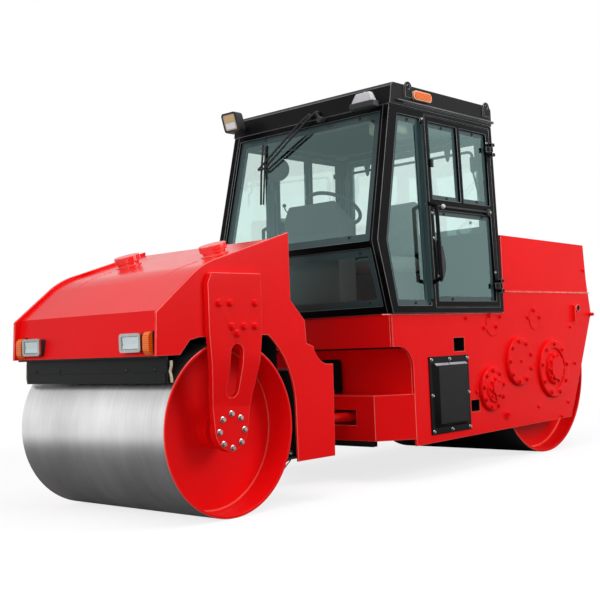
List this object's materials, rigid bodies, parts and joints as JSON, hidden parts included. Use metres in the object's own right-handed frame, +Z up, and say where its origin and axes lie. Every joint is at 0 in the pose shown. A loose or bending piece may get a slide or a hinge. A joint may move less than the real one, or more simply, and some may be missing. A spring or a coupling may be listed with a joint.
{
  "type": "static tandem road roller",
  "caption": "Articulated static road roller with two steel drums, a glazed cab, a sloping front water tank and a hinged rear hood.",
  "frame": {"origin": "on the ground, midway between the foremost and rearmost points, on the machine's middle plane", "axes": "-Y forward, +X to the driver's left, +Z up"},
  "size_m": [1.774, 4.922, 2.7992],
  "materials": {
    "red_paint": "gloss enamel",
    "black_paint": "satin black enamel",
    "drum_steel": "rolled and brushed",
    "cab_glass": "light green tint",
    "dark_metal": "plain dark casting",
    "rod_chrome": "hard chrome",
    "black_plastic": "moulded",
    "seat_cover": "woven grey cover",
    "amber_lens": "ribbed amber lens",
    "clear_lens": "clear lens in a bright rim",
    "grille_black": "black frame and slats"
  },
  "bodies": {
    "rear_frame": {"rear_side_plate_left": "red_paint", "rear_side_plate_right": "red_paint", "steering_fork": "red_paint", "cab_deck": "red_paint", "cross_members": "red_paint", "engine_block": "dark_metal", "side_grilles": "grille_black", "drive_covers": "red_paint", "rear_axles": "red_paint", "lashing_tubes": "red_paint", "cab_side_left": "black_paint", "cab_side_right": "black_paint", "cab_front": "black_paint", "cab_rear": "black_paint", "cab_roof": "black_paint", "windscreen": "cab_glass", "cab_windows": "cab_glass", "console": "black_plastic", "seat_base": "black_plastic", "seat_cushion": "seat_cover", "seat_back": "seat_cover", "work_lamps": "clear_lens", "roof_signals": "amber_lens", "grab_rails": "black_paint"},
    "front_frame": {"front_side_plate_left": "red_paint", "front_side_plate_right": "red_paint", "water_tank": "red_paint", "filler_caps": "red_paint", "front_cross_beam": "red_paint", "yoke_arm_left": "red_paint", "yoke_arm_right": "red_paint", "front_hubs": "red_paint", "drum_scrapers": "black_paint", "headlamps": "clear_lens", "front_signals": "amber_lens"},
    "front_drum": {"front_drum": "drum_steel"},
    "rear_drum": {"rear_drum": "drum_steel"},
    "rear_hood": {"rear_hood": "red_paint"},
    "door_left": {"door_left": "black_paint", "door_glass_left": "cab_glass"},
    "door_right": {"door_right": "black_paint", "door_glass_right": "cab_glass"},
    "steering_wheel": {"steering_wheel": "black_plastic"},
    "steering_barrel_left": {"steering_barrel_left": "red_paint"},
    "steering_barrel_right": {"steering_barrel_right": "red_paint"},
    "steering_rod_left": {"steering_rod_left": "rod_chrome"},
    "steering_rod_right": {"steering_rod_right": "rod_chrome"}
  },
  "joints": [
    {"name": "steering", "type": "hinge", "parent": "rear_frame", "child": "front_frame", "pos_m": [0, -0.75, 0.45], "axis": [0, 0, 1], "range_deg": [-35, 35]},
    {"name": "front_drum_roll", "type": "hinge", "parent": "front_frame", "child": "front_drum", "pos_m": [0, -1.9, 0.51], "axis": [1, 0, 0], "continuous": true},
    {"name": "rear_drum_roll", "type": "hinge", "parent": "rear_frame", "child": "rear_drum", "pos_m": [0, 1.716, 0.69], "axis": [1, 0, 0], "continuous": true},
    {"name": "rear_hood_lift", "type": "hinge", "parent": "rear_frame", "child": "rear_hood", "pos_m": [0, 2.443, 1.323], "axis": [-1, 0, 0], "range_deg": [0, 50]},
    {"name": "door_left_swing", "type": "hinge", "parent": "rear_frame", "child": "door_left", "pos_m": [0.7999, 0.911, 1.90144], "axis": [-0.0244, 0, 0.9997], "range_deg": [0, 90]},
    {"name": "door_right_swing", "type": "hinge", "parent": "rear_frame", "child": "door_right", "pos_m": [-0.7999, 0.911, 1.90144], "axis": [-0.0244, 0, -0.9997], "range_deg": [0, 90]},
    {"name": "steering_wheel_turn", "type": "hinge", "parent": "rear_frame", "child": "steering_wheel", "pos_m": [0, -0.095, 1.99], "axis": [0, 0.5, 0.866], "continuous": true},
    {"name": "barrel_swing_left", "type": "hinge", "parent": "rear_frame", "child": "steering_barrel_left", "pos_m": [0.44, 0, 0.453], "axis": [0, 0, 1], "range_deg": [-3.42, 3.42]},
    {"name": "rod_slide_left", "type": "slide", "parent": "steering_barrel_left", "child": "steering_rod_left", "axis": [-0.2456, -0.9694, 0], "range_m": [-0.1376, 0.1376]},
    {"name": "barrel_swing_right", "type": "hinge", "parent": "rear_frame", "child": "steering_barrel_right", "pos_m": [-0.44, 0, 0.453], "axis": [0, 0, 1], "range_deg": [-3.42, 3.42]},
    {"name": "rod_slide_right", "type": "slide", "parent": "steering_barrel_right", "child": "steering_rod_right", "axis": [0.2456, -0.9694, 0], "range_m": [-0.1376, 0.1376]}
  ],
  "couplings": [
    {"joint": "barrel_swing_left", "follows": "steering", "ratio": -0.09205},
    {"joint": "rod_slide_left", "follows": "steering", "m_per_rad": -0.22364},
    {"joint": "barrel_swing_right", "follows": "steering", "ratio": -0.09205},
    {"joint": "rod_slide_right", "follows": "steering", "m_per_rad": 0.22364}
  ]
}
